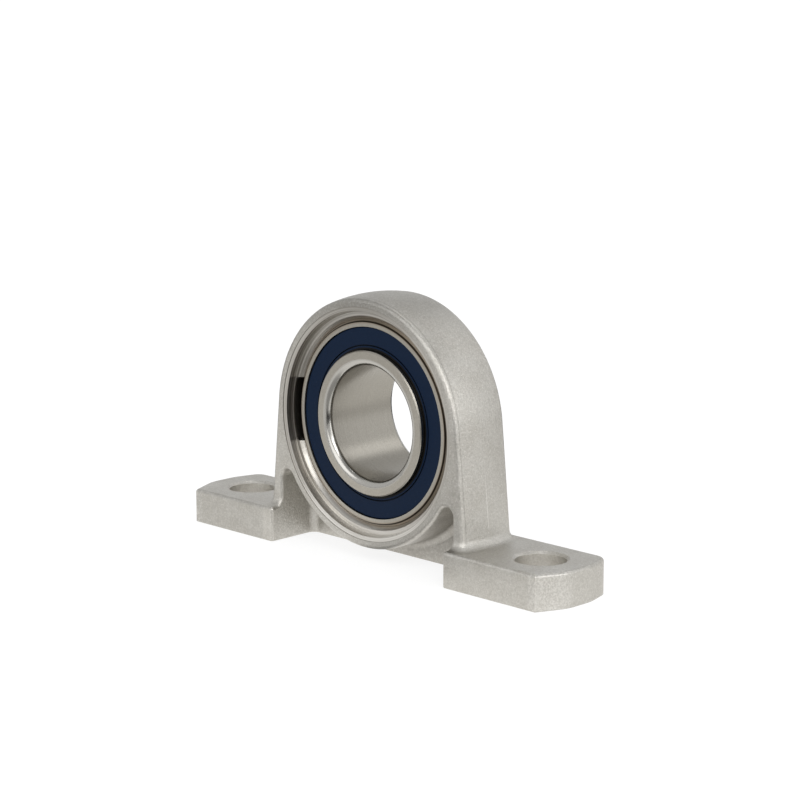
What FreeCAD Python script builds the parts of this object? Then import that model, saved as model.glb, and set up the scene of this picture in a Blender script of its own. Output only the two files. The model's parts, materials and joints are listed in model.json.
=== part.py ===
import FreeCAD, Part
import math
import os

import Sketcher

# Self-aligning pillow block bearing for a 30 mm shaft. Millimetres, +Z up.
# Origin: on the mounting face, midway between the two bolt holes, under the bearing.
# +X runs along the base, +Y along the shaft towards the wide side of the inner ring.

# Driving sizes: name, value, meaning
SIZES = [
    ("bore_radius", 15.0, "shaft bore"),
    ("bore_edge", 1.75, "rounded edge of the bore"),
    ("inner_ring_wall", 3.93, "bore to the outside of the inner ring"),
    ("inner_edge", 0.3, "bevel at the ends of the inner ring"),
    ("narrow_stand", 1.0, "inner ring beyond the outer ring's face at the front"),
    ("wide_stand", 11.1, "inner ring beyond the outer ring's face at the back"),
    ("shoulder_height", 2.32, "pitch circle to the land of either ring"),
    ("ball_count", 11.0, "balls in the bearing"),
    ("ball_radius", 3.572, "radius of a ball"),
    ("race_radius", 3.72, "radius of the raceway grooves"),
    ("race_clearance", 0.03, "gap between ball and raceway"),
    ("outer_ring_wall", 2.648, "bottom of the outer raceway to the spherical outside"),
    ("outer_ring_chamfer", 0.8, "bevel between sphere and side face"),
    ("cage_half_width", 1.2, "pitch circle to either edge of the ball cage"),
    ("cage_sheet", 0.5, "sheet thickness of the ball cage"),
    ("cage_clearance", 0.08, "gap between ball and cage"),
    ("rivet_radius", 0.55, "shank of a cage rivet"),
    ("rivet_head_radius", 0.95, "head of a cage rivet"),
    ("rivet_head_height", 0.4, "height of a rivet head"),
    ("seal_room", 0.048, "gap between cage and seal"),
    ("seal_thickness", 1.6, "thickness of a seal"),
    ("seal_groove_depth", 1.68, "groove that holds a seal, below the outer ring's land"),
    ("seal_lip_overhang", 0.25, "lip of the outer ring that keeps a seal in its groove"),
    ("seal_lip_width", 0.4, "width of that lip"),
    ("seal_fit", 0.02, "gap between a seal and its groove"),
    ("seal_bevel", 0.55, "bevel at the seal's outer edge"),
    ("seal_face_gap", 0.12, "seal's flat face to the inner ring"),
    ("seal_crease_reach", 0.95, "inner edge of a seal's face to the groove that frees its lip"),
    ("seal_crease_width", 0.3, "width of that groove"),
    ("seal_crease_depth", 0.5, "depth of that groove"),
    ("lip_clearance", 0.05, "gap between the seal's lip and the inner ring"),
    ("plate_inner_cover", 0.9, "rubber inside a seal's steel plate"),
    ("plate_outer_cover", 0.63, "rubber round a seal's steel plate"),
    ("plate_thickness", 0.5, "thickness of a seal's steel plate"),
    ("screw_radius", 3.0, "set screw"),
    ("screw_sink", 0.15, "set screw below the inner ring's outside"),
    ("screw_tip_gap", 0.15, "tip of a set screw above the bore"),
    ("screw_fit", 0.03, "gap round a set screw"),
    ("screw_from_end", 5.0, "set screws from the back end of the inner ring"),
    ("screw_angle", 120.0, "angle between the two set screws, degrees"),
    ("screw_bevel", 0.5, "bevels of a set screw"),
    ("socket_flats", 3.0, "hexagon socket across its flats"),
    ("socket_depth", 2.0, "depth of the hexagon socket"),
    ("seat_clearance", 0.05, "gap between seat and outer ring"),
    ("seat_setback", 0.8, "edge of the spherical seat behind the outer ring's face"),
    ("seat_lead", 1.2, "depth of the bevel in front of the seat"),
    ("seat_lead_rise", 0.884, "height of that bevel"),
    ("ledge_width", 1.1, "ledge between that bevel and the counterbore's wall"),
    ("counterbore_depth", 2.3, "arch face to the ledge"),
    ("counterbore_flare", 0.3, "outward lean of the counterbore's wall"),
    ("rim_bevel", 1.1, "width of the bevel round the housing's mouth"),
    ("rim_depth", 0.4, "depth of that bevel"),
    ("rim_step", 0.15, "turned bevel of the mouth below the cast face"),
    ("rim_wall", 2.9, "mouth's bevel to the outside of the arch"),
    ("arch_crown", 0.9, "middle of the arch's outside above its front and back edges"),
    ("arch_skin", 0.5, "cut away all over the outside of the arch to give it that crown"),
    ("slot_room", 2.35, "loading slot beyond each face of the outer ring that passes through"),
    ("slot_reach", 1.2, "loading slots beyond the outer ring's outside"),
    ("slot_corner_radius", 1.2, "corners of the loading slots"),
    ("boss_gap", 3.6, "lowest point of the boss above the mounting face"),
    ("leg_draft", 5.5, "slope of each leg's outer face from upright, degrees"),
    ("leg_wall", 5.5, "leg at the mounting face, outer face to the foot's inner end"),
    ("web_thickness", 6.0, "web that closes the back of the hollow between the feet"),
    ("pocket_corner_radius", 2.3, "corner where a leg meets the boss"),
    ("pocket_floor_radius", 2.0, "fillet round the web"),
    ("bolt_spacing", 106.0, "distance between the two bolt holes"),
    ("bolt_hole_radius", 6.5, "radius of the bolt holes"),
    ("bolt_rim_chamfer", 0.6, "bevel round the top of each bolt hole"),
    ("foot_end_margin", 13.0, "bolt hole's centre to the end of the base"),
    ("foot_step", 3.6, "face of the arch to the front of a foot"),
    ("foot_thickness", 9.3, "height of the feet"),
    ("foot_end_flat", 8.6, "width of the flat at each end of the base"),
    ("foot_front_cut", 3.7, "length of the slanted front corner at each end"),
    ("foot_back_cut", 2.4, "length of the slanted back corner at each end"),
    ("foot_crease_radius", 12.0, "soft crease between the end flat and a slanted corner"),
    ("foot_back_radius", 3.4, "rounded back corners at the ends of the base"),
    ("arch_edge_radius", 1.0, "rounded edges of the arch"),
    ("cast_edge_radius", 0.9, "rounded edges of feet and hollow"),
    ("base_edge_radius", 0.3, "worn edge round the underside of each foot"),
]

# Sizes worked out from the driving ones: name, formula, meaning
DERIVED = [
    ("inner_ring_radius", "bore_radius + inner_ring_wall", "outside of the inner ring"),
    ("pitch_radius", "inner_ring_radius + shoulder_height", "circle of the ball centres"),
    ("outer_shoulder_radius", "pitch_radius + shoulder_height", "land inside the outer ring"),
    ("outer_race_bottom", "pitch_radius + ball_radius + race_clearance", "bottom of the outer raceway"),
    ("inner_race_bottom", "pitch_radius - ball_radius - race_clearance", "bottom of the inner raceway"),
    ("outer_race_centre", "outer_race_bottom - race_radius", "centre of that groove"),
    ("inner_race_centre", "inner_race_bottom + race_radius", "centre of that groove"),
    ("outer_race_half", "sqrt(race_radius ^ 2 - (outer_shoulder_radius - outer_race_centre) ^ 2)",
     "half width of the outer raceway"),
    ("inner_race_half", "sqrt(race_radius ^ 2 - (inner_race_centre - inner_ring_radius) ^ 2)",
     "half width of the inner raceway"),
    ("outer_ring_radius", "outer_race_bottom + outer_ring_wall", "spherical outside of the outer ring"),
    ("ball_total", "round(ball_count)", "whole number of balls"),
    ("half_pitch", "180 / ball_total", "angle from a ball to the next rivet, degrees"),
    ("cage_inner_radius", "pitch_radius - cage_half_width", "inner edge of the ball cage"),
    ("cage_outer_radius", "pitch_radius + cage_half_width", "outer edge of the ball cage"),
    ("pocket_inside", "ball_radius + cage_clearance", "inside radius of a cage pocket"),
    ("pocket_outside", "pocket_inside + cage_sheet", "outside radius of a cage pocket"),
    ("cup_height", "2 * cage_half_width + 2", "length of a cup before it is trimmed"),
    ("cup_floor", "shaft_height + cage_inner_radius - 1", "height of its inner end"),
    ("cage_trim_radius", "cage_outer_radius + 3", "outside of what is trimmed off the cage"),
    ("rivet_top", "cage_sheet + rivet_head_height", "end of a rivet head"),
    ("rivet_side", "pitch_radius + rivet_radius", "side of a rivet shank"),
    ("rivet_head_side", "pitch_radius + rivet_head_radius", "side of a rivet head"),
    ("rivet_across", "pitch_radius * sin(half_pitch)", "place of the first rivet"),
    ("rivet_up", "pitch_radius * cos(half_pitch)", "place of the first rivet"),
    ("seal_back_place", "pocket_outside + seal_room", "centre plane to a seal's inner side"),
    ("seal_face", "seal_back_place + seal_thickness", "centre plane to a seal's face"),
    ("ring_half", "seal_face + seal_lip_width", "centre plane to the outer ring's face"),
    ("groove_foot", "seal_back_place - seal_fit", "centre plane to the foot of the seal groove"),
    ("seal_groove_radius", "outer_shoulder_radius + seal_groove_depth", "bottom of the seal groove"),
    ("seal_lip_radius", "seal_groove_radius - seal_lip_overhang", "lip in front of a seal"),
    ("seal_radius", "seal_groove_radius - seal_fit", "outer edge of a seal"),
    ("seal_face_radius", "seal_radius - seal_bevel", "outer edge of a seal's flat face"),
    ("seal_bevel_place", "seal_face - seal_bevel", "foot of the seal's bevel"),
    ("seal_inner_radius", "inner_ring_radius + seal_face_gap", "inner edge of a seal's flat face"),
    ("lip_radius", "inner_ring_radius + lip_clearance", "edge of a seal's lip"),
    ("lip_place", "seal_back_place + plate_thickness", "where a seal's lip starts"),
    ("crease_near", "seal_inner_radius + seal_crease_reach", "inner side of the lip's groove"),
    ("crease_far", "crease_near + seal_crease_width", "outer side of that groove"),
    ("crease_floor", "seal_face - seal_crease_depth", "centre plane to the floor of that groove"),
    ("plate_inner_radius", "seal_inner_radius + plate_inner_cover", "inner edge of a seal's plate"),
    ("plate_outer_radius", "seal_radius - plate_outer_cover", "outer edge of a seal's plate"),
    ("sphere_half", "ring_half - outer_ring_chamfer", "centre plane to the end of the sphere"),
    ("sphere_end", "sqrt(outer_ring_radius ^ 2 - sphere_half ^ 2)", "radius there"),
    ("ring_face_radius", "sphere_end - outer_ring_chamfer", "outer edge of the outer ring's face"),
    ("narrow_side", "ring_half + narrow_stand", "centre plane to the inner ring's front end"),
    ("wide_side", "ring_half + wide_stand", "centre plane to the inner ring's back end"),
    ("inner_land", "inner_ring_radius - inner_edge", "outer edge of the inner ring's end"),
    ("bore_mouth", "bore_radius + bore_edge", "edge of the bore"),
    ("narrow_land", "narrow_side - inner_edge", "start of the land at the front end"),
    ("narrow_bore", "narrow_side - bore_edge", "start of the plain bore at the front"),
    ("wide_land", "wide_side - inner_edge", "end of the land at the back end"),
    ("wide_bore", "wide_side - bore_edge", "end of the plain bore at the back"),
    ("wall_reach", "inner_ring_radius + 2", "outside the inner ring"),
    ("screw_place", "wide_side - screw_from_end", "centre plane to the set screws"),
    ("screw_side", "screw_place + screw_radius", "side of a set screw"),
    ("screw_bevel_side", "screw_side - screw_bevel", "edge of its ends"),
    ("screw_top", "inner_ring_radius - screw_sink", "outer end of a set screw"),
    ("screw_top_bevel", "screw_top - screw_bevel", "foot of its bevel"),
    ("screw_tip", "bore_radius + screw_tip_gap", "inner end of a set screw"),
    ("screw_tip_bevel", "screw_tip + screw_bevel", "foot of its bevel"),
    ("screw_plane", "shaft_height + screw_top", "height of the upper screw's outer end"),
    ("screw_hole_radius", "screw_radius + screw_fit", "set screw hole"),
    ("socket_half", "socket_flats / 2", "axis to a flat of the socket"),
    ("socket_corner", "socket_half / cos(30)", "axis to a corner of the socket"),
    ("socket_step", "socket_corner / 2", "half a flat of the socket"),
    ("socket_near", "screw_place - socket_half", "near flat of the socket"),
    ("socket_far", "screw_place + socket_half", "far flat of the socket"),
    ("seat_radius", "outer_ring_radius + seat_clearance", "radius of the spherical seat"),
    ("seat_half", "ring_half - seat_setback", "centre plane to an edge of the seat"),
    ("seat_mouth", "sqrt(seat_radius ^ 2 - seat_half ^ 2)", "radius at an edge of the seat"),
    ("ledge_place", "seat_half + seat_lead", "centre plane to a ledge"),
    ("ledge_radius", "seat_mouth + seat_lead_rise", "inner edge of a ledge"),
    ("counterbore_radius", "ledge_radius + ledge_width", "counterbore's wall at the ledge"),
    ("mouth_radius", "counterbore_radius + counterbore_flare", "counterbore's wall at its outer end"),
    ("rim_radius", "mouth_radius + rim_bevel", "outer edge of the mouth's bevel"),
    ("arch_radius", "rim_radius + rim_wall", "outside of the arch, at mid depth"),
    ("boss_radius", "arch_radius - arch_crown", "outside of the arch at its faces, and of the boss"),
    ("crown_rise", "arch_crown / 2 + arch_front ^ 2 / (2 * arch_crown)", "radius of the crown"),
    ("arch_front", "ledge_place + counterbore_depth", "centre plane to an arch face"),
    ("arch_depth", "2 * arch_front", "arch and legs, front face to back face"),
    ("rim_floor", "arch_front - rim_step", "centre plane to the outer edge of the mouth's bevel"),
    ("bevel_foot", "arch_front - rim_depth", "centre plane to the foot of the mouth's bevel"),
    ("cut_reach", "arch_front + 2", "outside either face of the arch"),
    ("shaft_height", "boss_radius + boss_gap", "bearing axis above the mounting face"),
    ("slot_half", "ring_half + slot_room", "half a loading slot"),
    ("slot_radius", "outer_ring_radius + slot_reach", "outer end of the loading slots"),
    ("slot_corner_reach", "slot_radius - slot_corner_radius", "bearing axis to a slot corner's centre"),
    ("slot_corner_up", "slot_half - slot_corner_radius", "height of that centre above the axis"),
    ("slot_flat", "sqrt(slot_corner_reach ^ 2 - slot_corner_up ^ 2)", "end of a slot's flat side"),
    ("slot_touch", "slot_flat * slot_radius / slot_corner_reach", "where a slot's corner ends"),
    ("slot_touch_up", "slot_corner_up * slot_radius / slot_corner_reach", "height of that place"),
    ("leg_touch_across", "arch_radius * cos(leg_draft)", "where a leg leaves the arch"),
    ("leg_touch_up", "shaft_height + arch_radius * sin(leg_draft)", "height of that place"),
    ("leg_base", "leg_touch_across + leg_touch_up * tan(leg_draft)", "half width of the legs at the base"),
    ("blank_radius", "arch_radius + arch_skin", "arch before its crown is cut"),
    ("blank_across", "blank_radius * cos(leg_draft)", "where a leg leaves it"),
    ("blank_up", "shaft_height + blank_radius * sin(leg_draft)", "height of that place"),
    ("blank_base", "blank_across + blank_up * tan(leg_draft)", "half its width at the base"),
    ("crown_foot", "leg_base - arch_crown", "centre line to the crown's edges at the base"),
    ("crown_room", "blank_base + 2", "outside the leg"),
    ("foot_inner_end", "leg_base - leg_wall", "centre line to the inner end of each foot"),
    ("web_front", "arch_front - web_thickness", "centre plane to the web"),
    ("corner_across", "foot_inner_end - pocket_corner_radius", "centre of the hollow's corner"),
    ("corner_reach", "boss_radius + pocket_corner_radius", "bearing axis to that centre"),
    ("corner_drop", "sqrt(corner_reach ^ 2 - corner_across ^ 2)", "depth of that centre below the axis"),
    ("corner_up", "shaft_height - corner_drop", "height of that centre"),
    ("touch_across", "corner_across * boss_radius / corner_reach", "where corner and boss touch"),
    ("touch_up", "shaft_height - corner_drop * boss_radius / corner_reach", "height of that place"),
    ("bolt_reach", "bolt_spacing / 2", "centre to a bolt hole"),
    ("half_length", "bolt_reach + foot_end_margin", "centre to the end of the base"),
    ("foot_shoulder", "half_length - foot_front_cut", "centre to where a front corner starts"),
    ("back_shoulder", "half_length - foot_back_cut", "centre to where a back corner starts"),
    ("half_flat", "foot_end_flat / 2", "half the end flat"),
    ("foot_front", "arch_front + foot_step", "centre plane to the front of a foot"),
    ("leg_root_radius", "foot_step * 0.68", "fillet between leg and foot"),
    ("base_reach", "foot_thickness", "below the mounting face, to cut clear of it"),
]

doc = FreeCAD.newDocument("pillow_block_bearing")
sheet = doc.addObject("Spreadsheet::Sheet", "sizes")


# Sizes and names


def fill_sheet():
    """Writes every size into the sheet and gives its cell the size's name."""
    driving = [(name, str(value), meaning) for name, value, meaning in SIZES]
    derived = [(name, "=" + formula, meaning) for name, formula, meaning in DERIVED]
    for row, (name, content, meaning) in enumerate(driving + derived, start=1):
        sheet.set(f"A{row}", meaning)
        sheet.set(f"B{row}", content)
        sheet.setAlias(f"B{row}", name)
    doc.recompute()


def size(name):
    """Value of a named size. A minus in front turns its sign, and "0" is nought."""
    if name == "0":
        return 0.0
    if name.startswith("-"):
        return -float(sheet.get(name[1:]))
    return float(sheet.get(name))


def cell(name):
    """Expression that reads the named size from the sheet."""
    if name.startswith("-"):
        return "-sizes." + name[1:]
    return "sizes." + name


def bind(thing, **links):
    """Binds properties of an object to sizes in the sheet."""
    for prop, name in links.items():
        thing.setExpression(prop, cell(name))


# Sketches and features


def new_body(name):
    body = doc.addObject("PartDesign::Body", name)
    body.Label = name
    return body


def new_sketch(body, plane, name, right="0", up="0", out="0"):
    """Sketch on one of the body's own planes, moved right, up and out by named sizes."""
    sketch = body.newObject("Sketcher::SketchObject", name)
    support = next(item for item in body.Origin.OriginFeatures if item.Role == plane)
    sketch.AttachmentSupport = [(support, "")]
    sketch.MapMode = "FlatFace"
    for axis, shift in (("x", right), ("y", up), ("z", out)):
        if shift != "0":
            sketch.setExpression("AttachmentOffset.Base." + axis, cell(shift))
    return sketch


def pin_point(sketch, index, end, across, up):
    """Holds one end of a line or arc at the named distances from the sketch's origin."""
    for kind, name, axis in (("DistanceX", across, -2), ("DistanceY", up, -1)):
        if name == "0":
            sketch.addConstraint(Sketcher.Constraint("PointOnObject", index, end, axis))
            continue
        held = sketch.addConstraint(Sketcher.Constraint(kind, -1, 1, index, end, size(name)))
        sketch.setExpression(f"Constraints[{held}]", cell(name))


def arc_between(start, finish, radius, turn, long_way):
    """Arc from start to finish. Turn is 1 for anticlockwise and -1 for clockwise."""
    chord = finish - start
    middle = (start + finish) * 0.5
    left = FreeCAD.Vector(-chord.y, chord.x, 0).normalize()
    rise = math.sqrt(max(radius ** 2 - (chord.Length / 2) ** 2, 0.0))
    side = -turn if long_way else turn
    centre = middle + left * rise * side
    circle = Part.Circle(centre, FreeCAD.Vector(0, 0, 1), radius)
    first, last = (start, finish) if turn > 0 else (finish, start)
    begin = math.atan2(first.y - centre.y, first.x - centre.x)
    end = math.atan2(last.y - centre.y, last.x - centre.x)
    return Part.ArcOfCircle(circle, begin, end)


def draw_outline(sketch, corners, arcs=None, closed=True):
    """Outline through named corners, each an (across, up) pair.
    arcs: corner number to (radius name, turn, long way round) of the arc that leaves it."""
    arcs = arcs or {}
    points = [FreeCAD.Vector(size(across), size(up), 0) for across, up in corners]
    ends = []
    starts = points if closed else points[:-1]
    for number, start in enumerate(starts):
        finish = points[(number + 1) % len(points)]
        if number in arcs:
            radius, turn, long_way = arcs[number]
            curve = arc_between(start, finish, size(radius), turn, long_way)
            index = sketch.addGeometry(curve, False)
            held = sketch.addConstraint(Sketcher.Constraint("Radius", index, size(radius)))
            sketch.setExpression(f"Constraints[{held}]", cell(radius))
            ends.append((index, 1, 2) if turn > 0 else (index, 2, 1))
        else:
            index = sketch.addGeometry(Part.LineSegment(start, finish), False)
            ends.append((index, 1, 2))
    for number, (index, start_end, last_end) in enumerate(ends):
        if closed or number > 0:
            before, _, end_before = ends[number - 1]
            sketch.addConstraint(Sketcher.Constraint("Coincident", before, end_before, index, start_end))
        pin_point(sketch, index, start_end, *corners[number])
        if not closed and number == len(ends) - 1:
            pin_point(sketch, index, last_end, *corners[-1])


def draw_circle(sketch, across, up, radius):
    """Circle with a named centre and radius."""
    centre = FreeCAD.Vector(size(across), size(up), 0)
    circle = Part.Circle(centre, FreeCAD.Vector(0, 0, 1), size(radius))
    index = sketch.addGeometry(circle, False)
    pin_point(sketch, index, 3, across, up)
    held = sketch.addConstraint(Sketcher.Constraint("Radius", index, size(radius)))
    sketch.setExpression(f"Constraints[{held}]", cell(radius))


def draw_axis(sketch, corner_a, corner_b):
    """Construction line that a feature can turn about, as the sketch's Axis0."""
    start = FreeCAD.Vector(size(corner_a[0]), size(corner_a[1]), 0)
    finish = FreeCAD.Vector(size(corner_b[0]), size(corner_b[1]), 0)
    index = sketch.addGeometry(Part.LineSegment(start, finish), True)
    pin_point(sketch, index, 1, *corner_a)
    pin_point(sketch, index, 2, *corner_b)


def volume(body):
    return body.Shape.Volume if body.Shape and not body.Shape.isNull() else 0.0


def add_feature(body, kind, name, **settings):
    """Adds a feature, recomputes, and makes sure that it changed the solid the right way."""
    before = volume(body)
    feature = body.newObject("PartDesign::" + kind, name)
    for prop, value in settings.items():
        setattr(feature, prop, value)
    body.Tip = feature
    doc.recompute()
    grows = kind in ("Pad", "Revolution")
    if grows and volume(body) <= before or kind in ("Pocket", "Groove", "SubtractivePipe") and volume(body) >= before:
        raise RuntimeError(f"{body.Label}: {name} changed nothing")
    return feature


def pad(body, sketch, name, length, **settings):
    feature = add_feature(body, "Pad", name, Profile=sketch, Length=size(length), **settings)
    bind(feature, Length=length)
    return feature


def cut_through(body, sketch, name, **settings):
    return add_feature(body, "Pocket", name, Profile=sketch, Type="ThroughAll", **settings)


def cut_depth(body, sketch, name, depth, **settings):
    feature = add_feature(body, "Pocket", name, Profile=sketch, Length=size(depth), **settings)
    bind(feature, Length=depth)
    return feature


def turn(body, kind, sketch, name, axis="H_Axis"):
    """Full turn of a profile about an axis of its sketch."""
    return add_feature(body, kind, name, Profile=sketch, ReferenceAxis=(sketch, [axis]), Angle=360.0)


def pattern(body, features, sketch, name, count, angle=None):
    """Repeats features round the sketch's horizontal axis."""
    before = volume(body)
    repeat = body.newObject("PartDesign::PolarPattern", name)
    repeat.Originals = features
    repeat.Axis = (sketch, ["H_Axis"])
    repeat.Occurrences = count
    if angle:
        bind(repeat, Angle=angle)
    body.Tip = repeat
    doc.recompute()
    if abs(volume(body) - before) < 1e-6:
        raise RuntimeError(f"{body.Label}: {name} repeated nothing")
    return repeat


def round_edges(body, name, radius, wanted, kind="Fillet"):
    """Rounds or bevels every edge of the body for which wanted(edge) holds."""
    names = [f"Edge{n}" for n, edge in enumerate(body.Shape.Edges, start=1) if wanted(edge)]
    if not names:
        raise RuntimeError(f"{body.Label}: {name} found no edges")
    prop = "Radius" if kind == "Fillet" else "Size"
    feature = add_feature(body, kind, name, Base=(body.Tip, names), **{prop: size(radius)})
    bind(feature, **{prop: radius})
    return feature


# Tests that pick edges by where they lie


def near(value, target, room=1e-3):
    return abs(value - target) < room


def lies_in(edge, axis, level, room=1e-3):
    """True where the whole edge lies in the plane axis = level."""
    box = edge.BoundBox
    low, high = getattr(box, axis + "Min"), getattr(box, axis + "Max")
    return near(low, level, room) and near(high, level, room)


def is_upright(edge):
    box = edge.BoundBox
    return box.XLength < 1e-3 and box.YLength < 1e-3 and box.ZLength > 0.1


# Housing


def make_housing():
    """Cast housing: arch and legs, two feet, hollow base, stepped bore with a spherical seat."""
    body = new_body("housing")
    outline = new_sketch(body, "XZ_Plane", "arch_outline")
    draw_outline(outline, [("-blank_base", "0"), ("blank_base", "0"), ("blank_across", "blank_up"),
                           ("-blank_across", "blank_up")], {2: ("blank_radius", 1, False)})
    pad(body, outline, "arch", "arch_depth", Midplane=True)
    path = new_sketch(body, "XZ_Plane", "crown_path")
    draw_outline(path, [("leg_base", "0"), ("leg_touch_across", "leg_touch_up"),
                        ("-leg_touch_across", "leg_touch_up"), ("-leg_base", "0")],
                 {1: ("arch_radius", 1, False)}, closed=False)
    crown = new_sketch(body, "XY_Plane", "crown_profile")
    draw_outline(crown, [("crown_foot", "-arch_front"), ("crown_foot", "arch_front"),
                         ("crown_foot", "cut_reach"), ("crown_room", "cut_reach"),
                         ("crown_room", "-cut_reach"), ("crown_foot", "-cut_reach")],
                 {0: ("crown_rise", 1, False)})
    add_feature(body, "SubtractivePipe", "crown", Profile=crown, Spine=path)

    feet = new_sketch(body, "XY_Plane", "feet_outline")
    for sign, inner, front_shoulder, back_shoulder, end in (
        (1, "foot_inner_end", "foot_shoulder", "back_shoulder", "half_length"),
        (-1, "-foot_inner_end", "-foot_shoulder", "-back_shoulder", "-half_length"),
    ):
        corners = [(inner, "-foot_front"), (front_shoulder, "-foot_front"), (end, "-half_flat"),
                   (end, "half_flat"), (back_shoulder, "foot_front"), (inner, "foot_front")]
        draw_outline(feet, corners if sign > 0 else corners[::-1])
    pad(body, feet, "feet", "foot_thickness")

    hollow = new_sketch(body, "XZ_Plane", "hollow_outline", out="-web_front")
    draw_outline(hollow, [("-foot_inner_end", "-base_reach"), ("foot_inner_end", "-base_reach"),
                          ("foot_inner_end", "corner_up"), ("touch_across", "touch_up"),
                          ("-touch_across", "touch_up"), ("-foot_inner_end", "corner_up")],
                 {2: ("pocket_corner_radius", 1, False), 3: ("boss_radius", -1, False),
                  4: ("pocket_corner_radius", 1, False)})
    cut_through(body, hollow, "hollow", Reversed=True)

    bore = new_sketch(body, "YZ_Plane", "bore_profile", up="shaft_height")
    front = [("cut_reach", "0"), ("cut_reach", "rim_radius"), ("rim_floor", "rim_radius"),
             ("bevel_foot", "mouth_radius"), ("ledge_place", "counterbore_radius"),
             ("ledge_place", "ledge_radius"), ("seat_half", "seat_mouth")]
    mirrored = [("-" + across, up) for across, up in front]
    draw_outline(bore, mirrored + front[::-1], {len(front) - 1: ("seat_radius", -1, False)})
    turn(body, "Groove", bore, "bore")

    slots = new_sketch(body, "XZ_Plane", "slot_outline", up="shaft_height")
    corner, reach = ("slot_corner_radius", 1, False), ("slot_radius", 1, False)
    draw_outline(slots, [("-slot_flat", "-slot_half"), ("slot_flat", "-slot_half"),
                         ("slot_touch", "-slot_touch_up"), ("slot_touch", "slot_touch_up"),
                         ("slot_flat", "slot_half"), ("-slot_flat", "slot_half"),
                         ("-slot_touch", "slot_touch_up"), ("-slot_touch", "-slot_touch_up")],
                 {1: corner, 2: reach, 3: corner, 5: corner, 6: reach, 7: corner})
    cut_through(body, slots, "loading_slots", Reversed=True)

    holes = new_sketch(body, "XY_Plane", "bolt_holes_outline")
    draw_circle(holes, "bolt_reach", "0", "bolt_hole_radius")
    draw_circle(holes, "-bolt_reach", "0", "bolt_hole_radius")
    cut_through(body, holes, "bolt_holes", Reversed=True)
    finish_housing(body)
    return body


def finish_housing(body):
    """Cast roundings and fillets of the housing."""
    arch_front, top = size("arch_front"), size("foot_thickness")
    inner, half_length = size("foot_inner_end"), size("half_length")
    shoulder, foot_front = size("foot_shoulder"), size("foot_front")
    arch_wall_middle = size("arch_radius") - size("rim_wall") / 2

    def off_axis(edge):
        """Largest distance of the edge's middle from the bearing axis."""
        middle = edge.valueAt((edge.FirstParameter + edge.LastParameter) / 2)
        return math.hypot(middle.x, middle.z - size("shaft_height"))

    def is_crease(edge):
        return is_upright(edge) and near(abs(edge.BoundBox.XMin), half_length)

    round_edges(body, "foot_creases", "foot_crease_radius", is_crease)

    def is_back_corner(edge):
        box = edge.BoundBox
        return is_upright(edge) and near(box.YMax, foot_front) and (
            near(abs(box.XMin), size("back_shoulder")))

    round_edges(body, "back_corners", "foot_back_radius", is_back_corner)

    def on_arch_outline(edge):
        """Outer outline of arch and legs, above the feet, on either face."""
        in_face = lies_in(edge, "Y", arch_front) or lies_in(edge, "Y", -arch_front)
        box = edge.BoundBox
        outside = max(abs(box.XMin), abs(box.XMax)) > inner + 0.1
        return in_face and box.ZMax > top + 0.1 and box.ZMin > top - 0.01 and (
            outside and off_axis(edge) > arch_wall_middle)

    round_edges(body, "arch_edges", "arch_edge_radius", on_arch_outline)

    def at_leg_root(edge):
        box = edge.BoundBox
        return lies_in(edge, "Z", top) and max(abs(box.YMin), abs(box.YMax)) < arch_front + 0.01 and (
            min(abs(box.XMin), abs(box.XMax)) < size("leg_base") + 0.1 and box.XLength < size("leg_base"))

    round_edges(body, "leg_roots", "leg_root_radius", at_leg_root)

    def round_the_web(edge):
        box = edge.BoundBox
        return lies_in(edge, "Y", size("web_front")) and box.ZMax < shaft_low and box.ZMax > 0.01

    shaft_low = size("shaft_height")
    round_edges(body, "web_fillets", "pocket_floor_radius", round_the_web)

    def on_sharp_cast_edge(edge):
        box = edge.BoundBox
        widest = max(abs(box.XMin), abs(box.XMax))
        slimmest = min(abs(box.XMin), abs(box.XMax))
        deepest = max(abs(box.YMin), abs(box.YMax))
        at_inner_end = widest < inner + 0.01 and slimmest > inner - 0.01
        if at_inner_end and box.YMax > 0:
            return False
        foot_top = lies_in(edge, "Z", top) and (deepest > foot_front - 0.01 or slimmest > shoulder - 0.01)
        foot_corner = is_upright(edge) and deepest > foot_front - 0.01 and widest < inner + 0.01
        mouth = lies_in(edge, "Y", -arch_front) and off_axis(edge) > size("boss_radius") - 0.01 and (
            widest < inner + 0.01 and box.ZMin > 0.01)
        leg_edge = at_inner_end and box.YMax < -arch_front + 1e-3 and box.ZMin > top - 0.01
        return foot_top or foot_corner or mouth or leg_edge

    round_edges(body, "cast_edges", "cast_edge_radius", on_sharp_cast_edge)

    def at_bolt_rim(edge):
        box = edge.BoundBox
        width = 2 * size("bolt_hole_radius")
        return lies_in(edge, "Z", top) and near(box.XLength, width) and near(box.YLength, width)

    round_edges(body, "bolt_rims", "bolt_rim_chamfer", at_bolt_rim, kind="Chamfer")

    def under_foot(edge):
        """Edges of the underside round the outside of each foot."""
        box = edge.BoundBox
        beyond_legs = min(abs(box.XMin), abs(box.XMax)) > inner - 0.01 and box.XMin * box.XMax > 0
        outside = max(abs(box.YMin), abs(box.YMax)) > foot_front - 0.01 or (
            min(abs(box.XMin), abs(box.XMax)) > shoulder - 0.01)
        return lies_in(edge, "Z", 0) and beyond_legs and outside

    round_edges(body, "base_edges", "base_edge_radius", under_foot)


# Bearing rings and seals


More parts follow.
